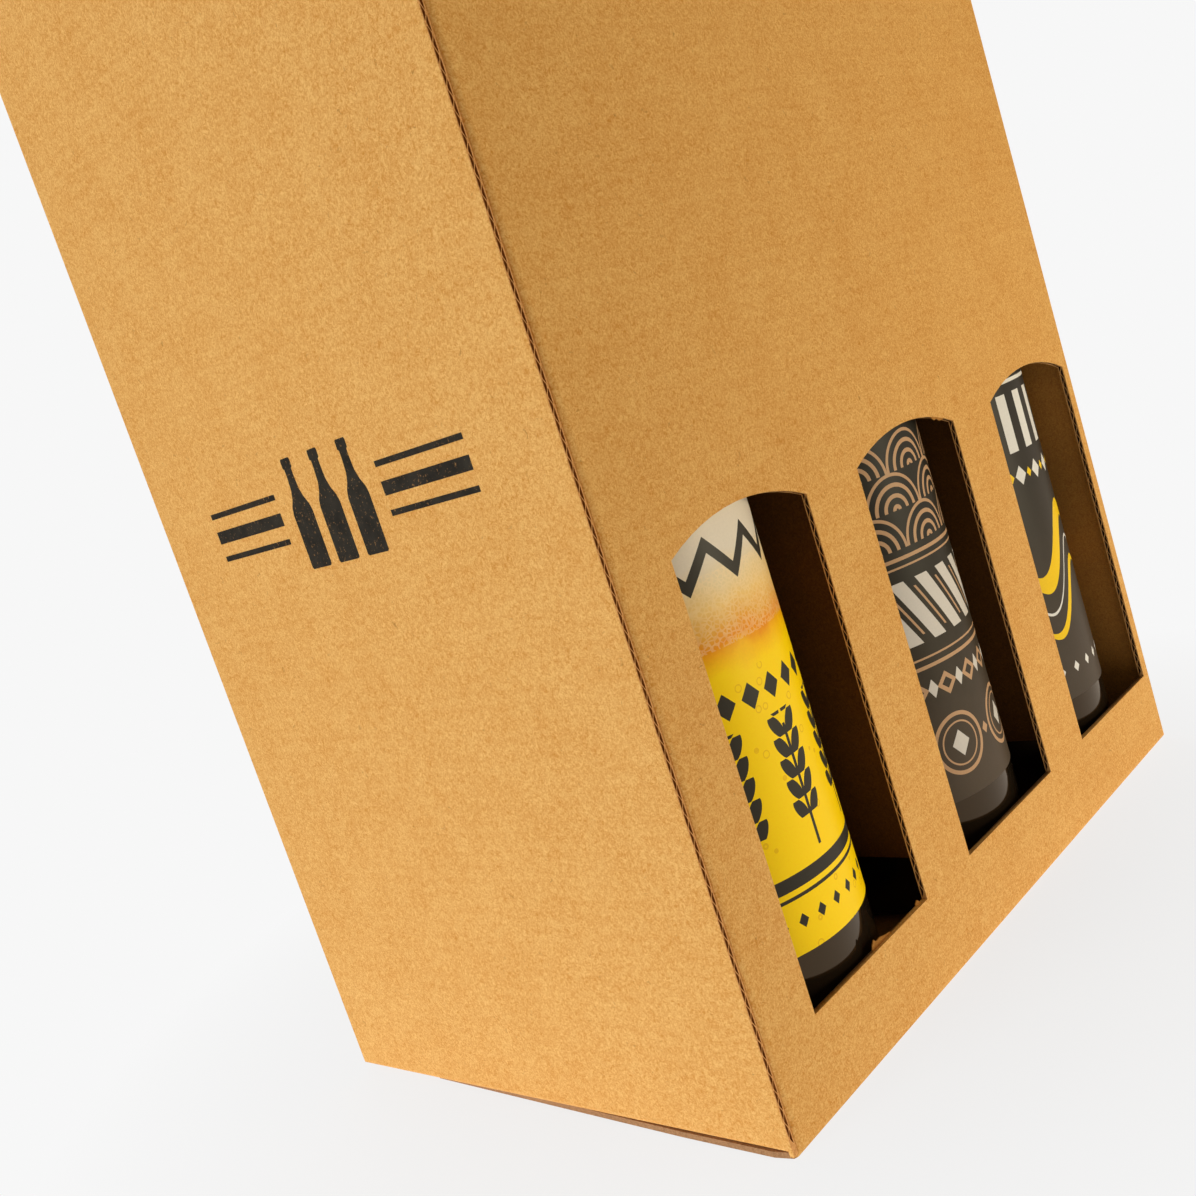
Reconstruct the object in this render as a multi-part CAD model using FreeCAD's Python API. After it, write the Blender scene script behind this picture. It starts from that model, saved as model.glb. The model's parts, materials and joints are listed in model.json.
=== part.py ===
import FreeCAD, Part
import math
import os

# All sizes in millimetres. The origin is the middle of the box's footprint, at the bottom.
# The windowed front faces -Y, the glued side panel faces -X, and the lid opens at the back.

# Carton
BOX_W = 210.0
BOX_D = 143.0
BOX_H = 280.0
BOARD = 1.4
FOLD_R = 2.2

# Glued corner, where the left panel's cut edge meets the front panel's fold
GLUE_FLAP = 22.0
SEAM_SETBACK = 0.4
SEAM_GROOVE = 1.2

# Bottom flaps, from the outside in: front, sides, back
FRONT_FLAP_SHORT = 29.0
FRONT_FLAP_TAPER = 6.0
FRONT_FLAP_INSET = 2.0
SIDE_FLAP_GAP = 8.0
FLAP_CLEAR = 0.4

# Top: dust flaps under the lid, and the lid's tuck flap
DUST_FLAP = 60.0
DUST_TAPER = 12.0
DUST_SETBACK = 6.0
LID_CLEAR = 0.3
TUCK = 22.0
TUCK_LEAN = 6.0
TUCK_TAPER = 10.0
TUCK_SIDE_CLEAR = 1.2
CREASE_STUB = 0.3

# Cells and their windows, which stand a little right of the box's middle
CELLS = 3
CELL_SHIFT = 6.4
WINDOW_PIER = 21.5
WINDOW_SILL = 21.5
WINDOW_SPRING = 117.0
WINDOW_RISE = 5.0

# Dividers
DIVIDER_TOP = 190.0
CROSS_FOOT = 26.5
SLOT_MEET = 100.0
SLOT_CLEAR = 0.3
DIVIDER_CLEAR = 0.3

# Bottles, each with its stand right of its cell's middle
BOTTLE_OFFSETS = (0.0, 3.0, 0.0)
BOTTLE_FRONT_GAP = 1.5
BOTTLE_CLEAR = 0.55
HEADSPACE = 15.8
HEEL_R = 5.0
PUNT_RIM = 1.5
PUNT_DEPTH = 3.0
BODY_TOP = 148.0
NECK_FOOT = 206.0
NECK_FOOT_R = 15.5
NECK_TOP_R = 13.0
COLLAR_R = 14.6
COLLAR_H = 4.0
FINISH_R = 12.3
FINISH_H = 9.0
LIP_H = 7.0
LIP_R = 13.2

# Labels
LABEL_FOOT = 25.5
LABEL_H = 113.5
LABEL_T = 0.12
LABEL_PASTE = 0.15
LABEL_WRAP = 330.0

# Crown caps
CAP_T = 0.4
CAP_H = 6.0
CAP_CLEAR = 0.15
CAP_FLARE = 0.9

# Worked out from the sizes above
LEFT, RIGHT = -BOX_W / 2, BOX_W / 2
FRONT, BACK = -BOX_D / 2, BOX_D / 2
FLOOR = 3 * BOARD
FOLD_STUB = 0.5
FOOT = 2 * BOARD + FOLD_R + FOLD_STUB
DUST_TOP = BOX_H - BOARD - LID_CLEAR
SHOULDER = DUST_TOP - FOLD_R - FOLD_STUB
BACK_TOP = BOX_H - FOLD_R - CREASE_STUB - LID_CLEAR
SEAM_Y = FRONT + SEAM_SETBACK
GLUE_X = LEFT + BOARD
LID_FRONT = FRONT + BOARD + LID_CLEAR
INNER_W = BOX_W - 2 * BOARD
INNER_D = BOX_D - 2 * BOARD
CELL_PITCH = (INNER_W + BOARD) / CELLS
LAST_CELL_W = CELL_PITCH - BOARD - CELL_SHIFT
ROW_D = (INNER_D - BOARD) / 2
WINDOW_W = CELL_PITCH - WINDOW_PIER
BOTTLE_R = min(LAST_CELL_W, ROW_D) / 2 - BOTTLE_CLEAR
BOTTLE_Y = INNER_D / 2 - BOTTLE_FRONT_GAP - BOTTLE_R
BOTTLE_H = BOX_H - FLOOR - HEADSPACE
NECK_TOP = BOTTLE_H - LIP_H - FINISH_H - COLLAR_H
PUNT_R = BOTTLE_R - HEEL_R - PUNT_RIM


def vec(x, y, z):
    return FreeCAD.Vector(x, y, z)


def box(x0, x1, y0, y1, z0, z1):
    return Part.makeBox(x1 - x0, y1 - y0, z1 - z0, vec(x0, y0, z0))


def plate(corners, z0, z1):
    """A flat piece of board, cut to the given corners."""
    points = [vec(x, y, z0) for x, y in corners]
    return Part.Face(Part.makePolygon(points + points[:1])).extrude(vec(0, 0, z1 - z0))


def rounded_plan(x0, x1, y0, y1, z0, z1, corners):
    """A block with a fold's rounding on the named corners of its plan."""
    block = box(x0, x1, y0, y1, z0, z1)
    edges = []
    for edge in block.Edges:
        a, b = (v.Point for v in edge.Vertexes)
        if abs(a.z - b.z) > 0.5 and any(math.dist((a.x, a.y), c) < 1e-6 for c in corners):
            edges.append(edge)
    return block.makeFillet(FOLD_R, edges)


def board_run(points, place, sweep):
    """Folded board. The points follow its outer face, with the inner face on their left."""
    along = [unit(a, b) for a, b in zip(points, points[1:])]
    inward = [(-v, u) for u, v in along]
    outer, inner = [points[0]], [shift(points[0], inward[0], BOARD)]
    arcs = []
    for i, corner in enumerate(points[1:-1]):
        turn = math.atan2(
            along[i][0] * along[i + 1][1] - along[i][1] * along[i + 1][0],
            along[i][0] * along[i + 1][0] + along[i][1] * along[i + 1][1],
        )
        reach = FOLD_R * math.tan(turn / 2)
        start, end = shift(corner, along[i], -reach), shift(corner, along[i + 1], reach)
        centre = shift(start, inward[i], FOLD_R)
        out = unit(centre, corner)
        arcs.append((len(outer), shift(centre, out, FOLD_R), shift(centre, out, FOLD_R - BOARD)))
        outer += [start, end]
        inner += [shift(start, inward[i], BOARD), shift(end, inward[i + 1], BOARD)]
    outer.append(points[-1])
    inner.append(shift(points[-1], inward[-1], BOARD))
    edges = side_edges(outer, {k: m for k, m, _ in arcs}, place)
    edges += side_edges(inner, {k: m for k, _, m in arcs}, place)
    edges += [Part.makeLine(place(a), place(b)) for a, b in ((outer[0], inner[0]), (outer[-1], inner[-1]))]
    return Part.Face(Part.Wire(Part.__sortEdges__(edges))).extrude(sweep)


def side_edges(points, mids, place):
    """Straight runs between the points, with an arc wherever a middle point is given."""
    edges = []
    for i in range(len(points) - 1):
        a, b = place(points[i]), place(points[i + 1])
        if i in mids:
            edges.append(Part.Arc(a, place(mids[i]), b).toShape())
        else:
            edges.append(Part.makeLine(a, b))
    return edges


def unit(a, b):
    length = math.dist(a, b)
    return ((b[0] - a[0]) / length, (b[1] - a[1]) / length)


def shift(point, direction, distance):
    return (point[0] + direction[0] * distance, point[1] + direction[1] * distance)


def run_along_z(points, z0, z1):
    return board_run(points, lambda p: vec(p[0], p[1], z0), vec(0, 0, z1 - z0))


def run_along_x(points, x0, x1):
    return board_run(points, lambda p: vec(x0, p[0], p[1]), vec(x1 - x0, 0, 0))


def run_along_y(points, y0, y1):
    return board_run(points, lambda p: vec(p[0], y0, p[1]), vec(0, y1 - y0, 0))


def window_x(cell):
    return (cell - (CELLS - 1) / 2) * CELL_PITCH + CELL_SHIFT


def divider_x(index):
    return (index - (CELLS - 2) / 2) * CELL_PITCH + CELL_SHIFT


def bottle_x(cell):
    """Middle between the cell's two sides, plus the bottle's own offset."""
    left = divider_x(cell - 1) + BOARD / 2 if cell > 0 else -INNER_W / 2
    right = divider_x(cell) - BOARD / 2 if cell < CELLS - 1 else INNER_W / 2
    return (left + right) / 2 + BOTTLE_OFFSETS[cell]


def walls():
    """Four walls and the glue flap, one strip folded round the box."""
    seam = [(GLUE_X, FRONT + GLUE_FLAP), (GLUE_X, FRONT), (0, FRONT)]
    round_box = [(0, FRONT), (RIGHT, FRONT), (RIGHT, BACK), (LEFT, BACK), (LEFT, SEAM_Y)]
    glue = box(GLUE_X, GLUE_X + BOARD / 2, FRONT + SEAM_GROOVE, FRONT + FOLD_R + FOLD_STUB, FOOT, SHOULDER)
    return [run_along_z(seam, FOOT, SHOULDER), run_along_z(round_box, FOOT, SHOULDER), glue]


def bottom():
    """Feet of the walls with their folds, and three layers of flaps."""
    near = FOLD_R + FOLD_STUB
    front = run_along_x([(FRONT, FOOT), (FRONT, 0), (FRONT + near, 0)], GLUE_X, RIGHT)
    front_corners = [(GLUE_X, FRONT), (RIGHT, FRONT)]
    front = front.common(rounded_plan(GLUE_X, RIGHT, FRONT, BACK, 0, FOOT, front_corners))
    back = run_along_x([(BACK - near, 2 * BOARD), (BACK, 2 * BOARD), (BACK, FOOT)], LEFT, RIGHT)
    left = run_along_y([(LEFT, FOOT), (LEFT, BOARD), (LEFT + near, BOARD)], FRONT + BOARD, BACK)
    right = run_along_y([(RIGHT - near, BOARD), (RIGHT, BOARD), (RIGHT, FOOT)], FRONT + BOARD, BACK)
    corners = [(RIGHT, FRONT), (RIGHT, BACK), (LEFT, BACK)]
    plan = rounded_plan(LEFT, RIGHT, FRONT, BACK, 0, FOOT, corners)
    feet = [piece.common(plan) for piece in (back, left, right)]
    toe = box(LEFT, GLUE_X, SEAM_Y, FRONT + BOARD, BOARD, FOOT)
    return [front, toe] + feet + bottom_flaps(near)


def bottom_flaps(near):
    side = BOX_W / 2 - FRONT_FLAP_INSET
    tip = side - FRONT_FLAP_TAPER
    y0, y1 = FRONT + near, BACK - FRONT_FLAP_SHORT
    outer = plate([(-side, y0), (side, y0), (tip, y1), (-tip, y1)], 0, BOARD)
    y0, y1 = FRONT + BOARD + FLAP_CLEAR, BACK - BOARD - FLAP_CLEAR
    left = box(LEFT + near, -SIDE_FLAP_GAP / 2, y0, y1, BOARD, 2 * BOARD)
    right = box(SIDE_FLAP_GAP / 2, RIGHT - near, y0, y1, BOARD, 2 * BOARD)
    side = INNER_W / 2 - FLAP_CLEAR
    inner = box(-side, side, y0, BACK - near, 2 * BOARD, FLOOR)
    return [outer, left, right, inner]


def top():
    """Upper ends of the walls, and the dust flaps that lie under the lid."""
    near = FOLD_R + FOLD_STUB
    front = box(GLUE_X, RIGHT, FRONT, FRONT + BOARD, SHOULDER, BOX_H)
    corners = [(GLUE_X, FRONT), (RIGHT, FRONT)]
    front = front.common(rounded_plan(GLUE_X, RIGHT, FRONT, BACK, SHOULDER, BOX_H, corners))
    back = box(LEFT, RIGHT, BACK - BOARD, BACK, SHOULDER, BACK_TOP)
    corners = [(RIGHT, BACK), (LEFT, BACK)]
    back = back.common(rounded_plan(LEFT, RIGHT, FRONT, BACK, SHOULDER, BOX_H, corners))
    y0, y1 = FRONT + BOARD, BACK - FOLD_R - LID_CLEAR
    left = run_along_y([(LEFT + near, DUST_TOP), (LEFT, DUST_TOP), (LEFT, SHOULDER)], y0, y1)
    right = run_along_y([(RIGHT, SHOULDER), (RIGHT, DUST_TOP), (RIGHT - near, DUST_TOP)], y0, y1)
    toe = box(LEFT, GLUE_X, SEAM_Y, FRONT + BOARD, SHOULDER, DUST_TOP - FOLD_R)
    return [front, back, left, right, toe, dust_flap(LEFT, 1), dust_flap(RIGHT, -1)]


def dust_flap(wall, inward):
    """A side flap that tapers towards its tip and stops short of the lid's tuck flap."""
    root, tip = wall + inward * FOLD_R, wall + inward * DUST_FLAP
    y0, y1 = FRONT + DUST_SETBACK, BACK - FOLD_R - LID_CLEAR
    corners = [(root, y0), (tip, y0 + DUST_TAPER), (tip, y1 - DUST_TAPER), (root, y1)]
    return plate(corners, DUST_TOP - BOARD, DUST_TOP)


def window_cutter(cell):
    x0, x1 = window_x(cell) - WINDOW_W / 2, window_x(cell) + WINDOW_W / 2
    y = FRONT - BOARD
    foot = [vec(x0, y, WINDOW_SPRING), vec(x0, y, WINDOW_SILL), vec(x1, y, WINDOW_SILL), vec(x1, y, WINDOW_SPRING)]
    edges = [Part.makeLine(a, b) for a, b in zip(foot, foot[1:])]
    crown = vec(window_x(cell), y, WINDOW_SPRING + WINDOW_RISE)
    edges.append(Part.Arc(foot[3], crown, foot[0]).toShape())
    return Part.Face(Part.Wire(edges)).extrude(vec(0, 3 * BOARD, 0))


def carton():
    pieces = walls() + bottom() + top()
    body = pieces[0].multiFuse(pieces[1:]).removeSplitter()
    return body.cut([window_cutter(cell) for cell in range(CELLS)])


def lid():
    """Top panel with its crease at the back and the tuck flap folded down inside the front."""
    half = BOX_W / 2 - LID_CLEAR
    tuck_half = INNER_W / 2 - BOARD - TUCK_SIDE_CLEAR
    fold_y = LID_FRONT + FOLD_R
    ear_y = LID_FRONT + LID_CLEAR
    shoulder = tuck_half + LID_CLEAR
    panel = plate(
        [
            (-half, ear_y), (-shoulder, ear_y), (-shoulder, fold_y), (shoulder, fold_y),
            (shoulder, ear_y), (half, ear_y), (half, BACK - FOLD_R), (-half, BACK - FOLD_R),
        ],
        BOX_H - BOARD, BOX_H,
    )
    crease = run_along_x(
        [(BACK, BACK_TOP + LID_CLEAR), (BACK, BOX_H), (BACK - FOLD_R - FOLD_STUB, BOX_H)], -half, half
    )
    lean = math.radians(TUCK_LEAN)
    tip = (LID_FRONT + TUCK * math.sin(lean), BOX_H - TUCK * math.cos(lean))
    tuck = run_along_x([(fold_y + FOLD_STUB, BOX_H), (LID_FRONT, BOX_H), tip], -tuck_half, tuck_half)
    panel = panel.multiFuse([crease, tuck.cut(tuck_corners(tuck_half, tip))])
    return panel.removeSplitter()


def tuck_corners(half, tip):
    """Wedges that slope the tuck flap's two lower corners."""
    wedges = []
    for side in (-1, 1):
        edge = side * (half + BOARD)
        corner = [(edge, tip[1] - BOARD), (edge, BOX_H - 2 * FOLD_R), (side * half, BOX_H - 2 * FOLD_R)]
        corner.append((side * (half - TUCK_TAPER), tip[1] - BOARD))
        points = [vec(x, LID_FRONT - BOARD, z) for x, z in corner]
        face = Part.Face(Part.makePolygon(points + points[:1]))
        wedges.append(face.extrude(vec(0, TUCK, 0)))
    return wedges


def long_divider():
    """Runs left to right on the floor, slotted from the top for the cross dividers."""
    half = INNER_W / 2 - DIVIDER_CLEAR
    sheet = box(-half, half, -BOARD / 2, BOARD / 2, FLOOR, DIVIDER_TOP)
    slots = [slot_block(divider_x(i), SLOT_MEET, DIVIDER_TOP + BOARD) for i in range(CELLS - 1)]
    return sheet.cut(slots)


def cross_divider(index):
    """Runs front to back, slotted from below, and sits in the long divider's slot."""
    x = divider_x(index)
    half = INNER_D / 2 - DIVIDER_CLEAR
    sheet = box(x - BOARD / 2, x + BOARD / 2, -half, half, CROSS_FOOT, DIVIDER_TOP)
    return sheet.cut(slot_block(x, CROSS_FOOT - BOARD, SLOT_MEET))


def slot_block(x, z0, z1):
    """The slot where two dividers cross, a little wider than the board."""
    half = (BOARD + SLOT_CLEAR) / 2
    return box(x - half, x + half, -half, half, z0, z1)


def revolve(edges, x, y, angle=360.0):
    """Turn a closed profile, drawn in the XZ plane, about the bottle's own axis."""
    face = Part.Face(Part.Wire(Part.__sortEdges__(edges)))
    solid = face.revolve(vec(0, 0, 0), vec(0, 0, 1), angle)
    solid.translate(vec(x, y, 0))
    return solid


def lines(points):
    """Edges through points given as radius and height above the floor of the box."""
    placed = [vec(r, 0, FLOOR + z) for r, z in points]
    return [Part.makeLine(a, b) for a, b in zip(placed, placed[1:])]


def arc(a, mid, b):
    return Part.Arc(*(vec(r, 0, FLOOR + z) for r, z in (a, mid, b))).toShape()


def bottle(x, y):
    """A full, closed bottle: heel, straight body, sloping shoulder, neck, collar and lip."""
    diagonal = HEEL_R * (1 - math.sqrt(0.5))
    heel = arc((BOTTLE_R - HEEL_R, 0), (BOTTLE_R - diagonal, diagonal), (BOTTLE_R, HEEL_R))
    slope = NECK_FOOT - BODY_TOP
    poles = [
        (BOTTLE_R, BODY_TOP), (BOTTLE_R, BODY_TOP + 0.52 * slope),
        (NECK_FOOT_R, NECK_FOOT - 0.5 * slope), (NECK_FOOT_R, NECK_FOOT),
    ]
    curve = Part.BezierCurve()
    curve.setPoles([vec(r, 0, FLOOR + z) for r, z in poles])
    collar_top = NECK_TOP + COLLAR_H
    lip_foot = BOTTLE_H - LIP_H
    neck = lines([
        (NECK_FOOT_R, NECK_FOOT), (NECK_TOP_R, NECK_TOP), (COLLAR_R, NECK_TOP + 1), (COLLAR_R, collar_top - 1),
        (FINISH_R, collar_top), (FINISH_R, lip_foot), (LIP_R, lip_foot + 1), (LIP_R, BOTTLE_H - 1),
        (LIP_R - 1, BOTTLE_H), (0, BOTTLE_H), (0, PUNT_DEPTH),
    ])
    punt = arc((0, PUNT_DEPTH), (PUNT_R * 0.6, PUNT_DEPTH * 0.64), (PUNT_R, 0))
    base = lines([(PUNT_R, 0), (BOTTLE_R - HEEL_R, 0)])
    body = lines([(BOTTLE_R, HEEL_R), (BOTTLE_R, BODY_TOP)])
    return revolve([punt, heel, curve.toShape()] + base + body + neck, x, y)


def label(x, y, seam_side):
    """Paper wrapped round the body, with a bare strip on the side away from the window."""
    top = LABEL_FOOT + LABEL_H
    inner = BOTTLE_R + LABEL_PASTE
    outer = inner + LABEL_T
    ring = [(inner, LABEL_FOOT), (outer, LABEL_FOOT), (outer, top), (inner, top), (inner, LABEL_FOOT)]
    sleeve = revolve(lines(ring), x, y, LABEL_WRAP)
    start = seam_side * 90 + (360 - LABEL_WRAP) / 2
    sleeve.rotate(vec(x, y, 0), vec(0, 0, 1), start)
    return sleeve


def crown_cap(x, y):
    """Pressed cap: a disc resting on the lip, with a skirt that flares at its rim."""
    inner = LIP_R + CAP_CLEAR
    outer = inner + CAP_T
    rim = BOTTLE_H + CAP_T - CAP_H
    profile = [
        (0, BOTTLE_H), (inner - 1, BOTTLE_H), (inner, BOTTLE_H - 1), (inner, rim + 2.5), (inner + CAP_FLARE, rim),
        (outer + CAP_FLARE, rim), (outer, rim + 2.5), (outer, BOTTLE_H - 0.8), (outer - 1.2, BOTTLE_H + CAP_T),
        (0, BOTTLE_H + CAP_T), (0, BOTTLE_H),
    ]
    return revolve(lines(profile), x, y)


def contents():
    """Six bottles in two rows, each with its label and cap, numbered from the front left."""
    nodes = {}
    for row, y in enumerate((-BOTTLE_Y, BOTTLE_Y)):
        for cell in range(CELLS):
            number = row * CELLS + cell + 1
            x = bottle_x(cell)
            nodes[f"bottle_{number}"] = bottle(x, y)
            nodes[f"label_{number}"] = label(x, y, 1 if row == 0 else -1)
            nodes[f"crown_cap_{number}"] = crown_cap(x, y)
    return nodes


def main():
    os.makedirs("parts", exist_ok=True)
    nodes = {"carton": carton(), "lid": lid(), "long_divider": long_divider()}
    for index in range(CELLS - 1):
        nodes[f"cross_divider_{index + 1}"] = cross_divider(index)
    nodes.update(contents())
    for name, shape in nodes.items():
        print(name, shape.isValid(), len(shape.Solids), round(shape.Volume / 1000, 2))
        shape.exportStep(f"parts/{name}.step")


main()
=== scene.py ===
import json
import math

import bmesh
import bpy
from mathutils import Matrix, Vector


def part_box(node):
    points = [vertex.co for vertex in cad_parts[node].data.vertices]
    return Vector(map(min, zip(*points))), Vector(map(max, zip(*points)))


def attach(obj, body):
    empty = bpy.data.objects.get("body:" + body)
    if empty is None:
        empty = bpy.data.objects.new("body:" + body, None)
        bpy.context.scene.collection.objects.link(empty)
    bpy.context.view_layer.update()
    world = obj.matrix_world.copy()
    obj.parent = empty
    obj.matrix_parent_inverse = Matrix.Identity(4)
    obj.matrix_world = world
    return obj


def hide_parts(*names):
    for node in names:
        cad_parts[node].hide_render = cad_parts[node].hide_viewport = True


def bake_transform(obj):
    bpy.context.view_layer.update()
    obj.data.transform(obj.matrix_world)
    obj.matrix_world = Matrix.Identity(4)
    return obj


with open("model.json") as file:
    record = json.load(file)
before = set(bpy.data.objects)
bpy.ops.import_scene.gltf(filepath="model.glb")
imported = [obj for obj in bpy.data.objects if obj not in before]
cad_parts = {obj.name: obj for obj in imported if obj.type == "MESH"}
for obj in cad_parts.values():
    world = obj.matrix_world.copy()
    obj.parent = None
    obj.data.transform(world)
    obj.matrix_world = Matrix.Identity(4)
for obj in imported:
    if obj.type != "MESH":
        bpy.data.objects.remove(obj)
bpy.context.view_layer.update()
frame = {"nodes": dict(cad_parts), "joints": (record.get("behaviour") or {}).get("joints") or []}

MM = 0.001

# Board: its thickness and outer fold radius, its two liners and wavy middle sheet, and its flute pitch
BOARD = 1.4 * MM
FOLD = 2.2 * MM
LINER = 0.28 * MM
MEDIUM = 0.2 * MM
FLUTE = 3.6 * MM

# A finished board's materials, in this order. Only the carton has the last two.
OUTER_SLOT, INNER_SLOT, FLUTE_SLOT, EDGE_SLOT, SEAM_SLOT, SEAM_WALL_SLOT = range(6)

# The box's outer faces and other levels, read from the frame or as in the source
LEFT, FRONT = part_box("carton")[0].xy
RIGHT, BACK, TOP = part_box("carton")[1]
DUST_TOP = TOP - BOARD - 0.3 * MM
DIVIDER_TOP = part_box("long_divider")[1].z
BOTTOM = 3 * BOARD
SILL = 21.5 * MM

# The photograph's camera: its place is in box widths from the front left corner of the base
IMAGE = 1196
FOCAL_PX = 1316.7
AXIS_PX = (601.2, 603.4)
SENSOR = 36.0
EYE = Vector((-0.792, -0.773, 0.718))
LOOK = Vector((0.7003, 0.6978, -0.1506))
HEAD_UP = Vector((0.321, -0.1194, 0.9395))


def camera():
    data = bpy.data.cameras.new("camera")
    data.sensor_width = SENSOR
    data.lens = FOCAL_PX / IMAGE * SENSOR
    data.shift_x = (IMAGE / 2 - AXIS_PX[0]) / IMAGE
    data.shift_y = (AXIS_PX[1] - IMAGE / 2) / IMAGE
    data.clip_start, data.clip_end = 0.01, 20
    back = -LOOK.normalized()
    up = (HEAD_UP - HEAD_UP.dot(back) * back).normalized()
    side = up.cross(back)
    eye = Vector((LEFT, FRONT, 0)) + EYE * (RIGHT - LEFT)
    cam = bpy.data.objects.new("camera", data)
    cam.matrix_world = Matrix.Translation(eye) @ Matrix((side, up, back)).transposed().to_4x4()
    bpy.context.scene.collection.objects.link(cam)
    bpy.context.scene.camera = cam


# Shader nodes

def blank_material(name):
    material = bpy.data.materials.new(name)
    material.use_nodes = True
    tree = material.node_tree
    tree.nodes.clear()
    out = tree.nodes.new("ShaderNodeOutputMaterial")
    shader = tree.nodes.new("ShaderNodeBsdfPrincipled")
    tree.links.new(shader.outputs["BSDF"], out.inputs["Surface"])
    return material, tree, shader


def node(tree, kind, settings=None, **sockets):
    """A node with sockets set by name, or by number as _0, _1; a value may be another node's output."""
    made = tree.nodes.new("ShaderNode" + kind)
    for key, value in (settings or {}).items():
        setattr(made, key, value)
    for key, value in sockets.items():
        socket = made.inputs[int(key[1:])] if key[1:].isdigit() else made.inputs[key.replace("_", " ")]
        if isinstance(value, bpy.types.NodeSocket):
            tree.links.new(value, socket)
        else:
            socket.default_value = value
    return made


def maths(tree, operation, a, b=0.0, c=0.0, clamp=False):
    return node(tree, "Math", {"operation": operation, "use_clamp": clamp}, _0=a, _1=b, _2=c).outputs[0]


def noise(tree, where, scale, detail=3.0, roughness=0.55, curl=0.0):
    made = node(tree, "TexNoise", None, Vector=where, Scale=scale, Detail=detail, Roughness=roughness,
                Distortion=curl)
    return made.outputs["Fac"]


def ramp(tree, factor, stops):
    made = node(tree, "ValToRGB", None, Fac=factor)
    elements = made.color_ramp.elements
    while len(elements) < len(stops):
        elements.new(1.0)
    for element, (place, colour) in zip(elements, stops):
        element.position = place
        element.color = (*colour, 1)
    return made.outputs["Color"]


def mixed(tree, factor, under, over):
    made = node(tree, "Mix", {"data_type": "RGBA"}, _0=factor)
    for socket, colour in ((made.inputs[6], under), (made.inputs[7], over)):
        if isinstance(colour, bpy.types.NodeSocket):
            tree.links.new(colour, socket)
        else:
            socket.default_value = (*colour, 1)
    return made.outputs[2]


def object_place(tree):
    return node(tree, "TexCoord").outputs["Object"]


def picked(r, g, b):
    """Linear colour from a colour picker's 0 to 255."""
    return tuple(((v / 255 + 0.055) / 1.055) ** 2.4 if v > 10 else v / 255 / 12.92 for v in (r, g, b))


# Board finishes: noise features to the metre, and what brings the sum of their weights to mid tone

FIBRE_SCALE, GRAIN_SCALE, CLOUD_SCALE, FLECK_SCALE = 980, 1900, 75, 640
MID_TONE = -1.77


def kraft(name, light, dark, ribs="Z"):
    """Kraft liner: short curled fibres and pulp grain, soft clouds, stray dark flecks, and faint ribs
    where the flutes print through, as a bump and as a faint painted shade in the colour."""
    material, tree, shader = blank_material(name)
    where = object_place(tree)
    fibre = noise(tree, where, FIBRE_SCALE, 3, 0.75, curl=2.2)
    grain = noise(tree, where, GRAIN_SCALE, 2, 0.7)
    cloud = noise(tree, where, CLOUD_SCALE, 3, 0.6)
    waves = node(tree, "TexWave", {"bands_direction": ribs}, Vector=where, Scale=math.tau / (20 * FLUTE),
                 Distortion=0.4, Detail_Scale=0.4)
    rib_relief_and_shade = waves.outputs["Fac"]
    tone = MID_TONE
    # The ribs' small share of the tone is painted shade of their relief.
    for part, weight in ((fibre, 2.8), (grain, 1.3), (cloud, 0.4), (rib_relief_and_shade, 0.05)):
        tone = maths(tree, "MULTIPLY_ADD", part, weight, tone)
    colour = ramp(tree, tone, [(0.0, dark), (1.0, light)])
    fleck = maths(tree, "SUBTRACT", noise(tree, where, FLECK_SCALE, 2, 0.5, curl=1.0), 0.69)
    fleck = maths(tree, "MULTIPLY", fleck, 6.0, clamp=True)
    colour = mixed(tree, fleck, colour, tuple(c * 0.6 for c in dark))
    tree.links.new(colour, shader.inputs["Base Color"])
    shader.inputs["Roughness"].default_value = 0.8
    shader.inputs["Specular IOR Level"].default_value = 0.2
    height = maths(tree, "MULTIPLY_ADD", rib_relief_and_shade, 0.8, fibre)
    bump = node(tree, "Bump", None, Strength=0.22, Distance=0.1 * MM, Height=height)
    tree.links.new(bump.outputs["Normal"], shader.inputs["Normal"])
    return material


# Other finishes

def bottle_glass():
    """Near-black brown glass with the slight ripple that moulding leaves."""
    material, tree, shader = blank_material("black_brown_glass")
    shader.inputs["Base Color"].default_value = (0.014, 0.009, 0.005, 1)
    shader.inputs["Specular Tint"].default_value = (1, 0.78, 0.56, 1)
    shader.inputs["Roughness"].default_value = 0.07
    shader.inputs["IOR"].default_value = 1.52
    ripple = noise(tree, object_place(tree), 60, 2, 0.4)
    bump = node(tree, "Bump", None, Strength=0.12, Distance=0.5 * MM, Height=ripple)
    tree.links.new(bump.outputs["Normal"], shader.inputs["Normal"])
    return material


def cap_lacquer():
    """Black lacquer on tinplate, rubbed a little duller in patches."""
    material, tree, shader = blank_material("cap_lacquer")
    scuff = noise(tree, object_place(tree), 420, 4, 0.65)
    tree.links.new(ramp(tree, scuff, [(0.35, picked(38, 36, 35)), (0.75, picked(62, 59, 56))]),
                   shader.inputs["Base Color"])
    tree.links.new(maths(tree, "MULTIPLY_ADD", scuff, 0.3, 0.16), shader.inputs["Roughness"])
    shader.inputs["Metallic"].default_value = 0.55
    return material


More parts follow.
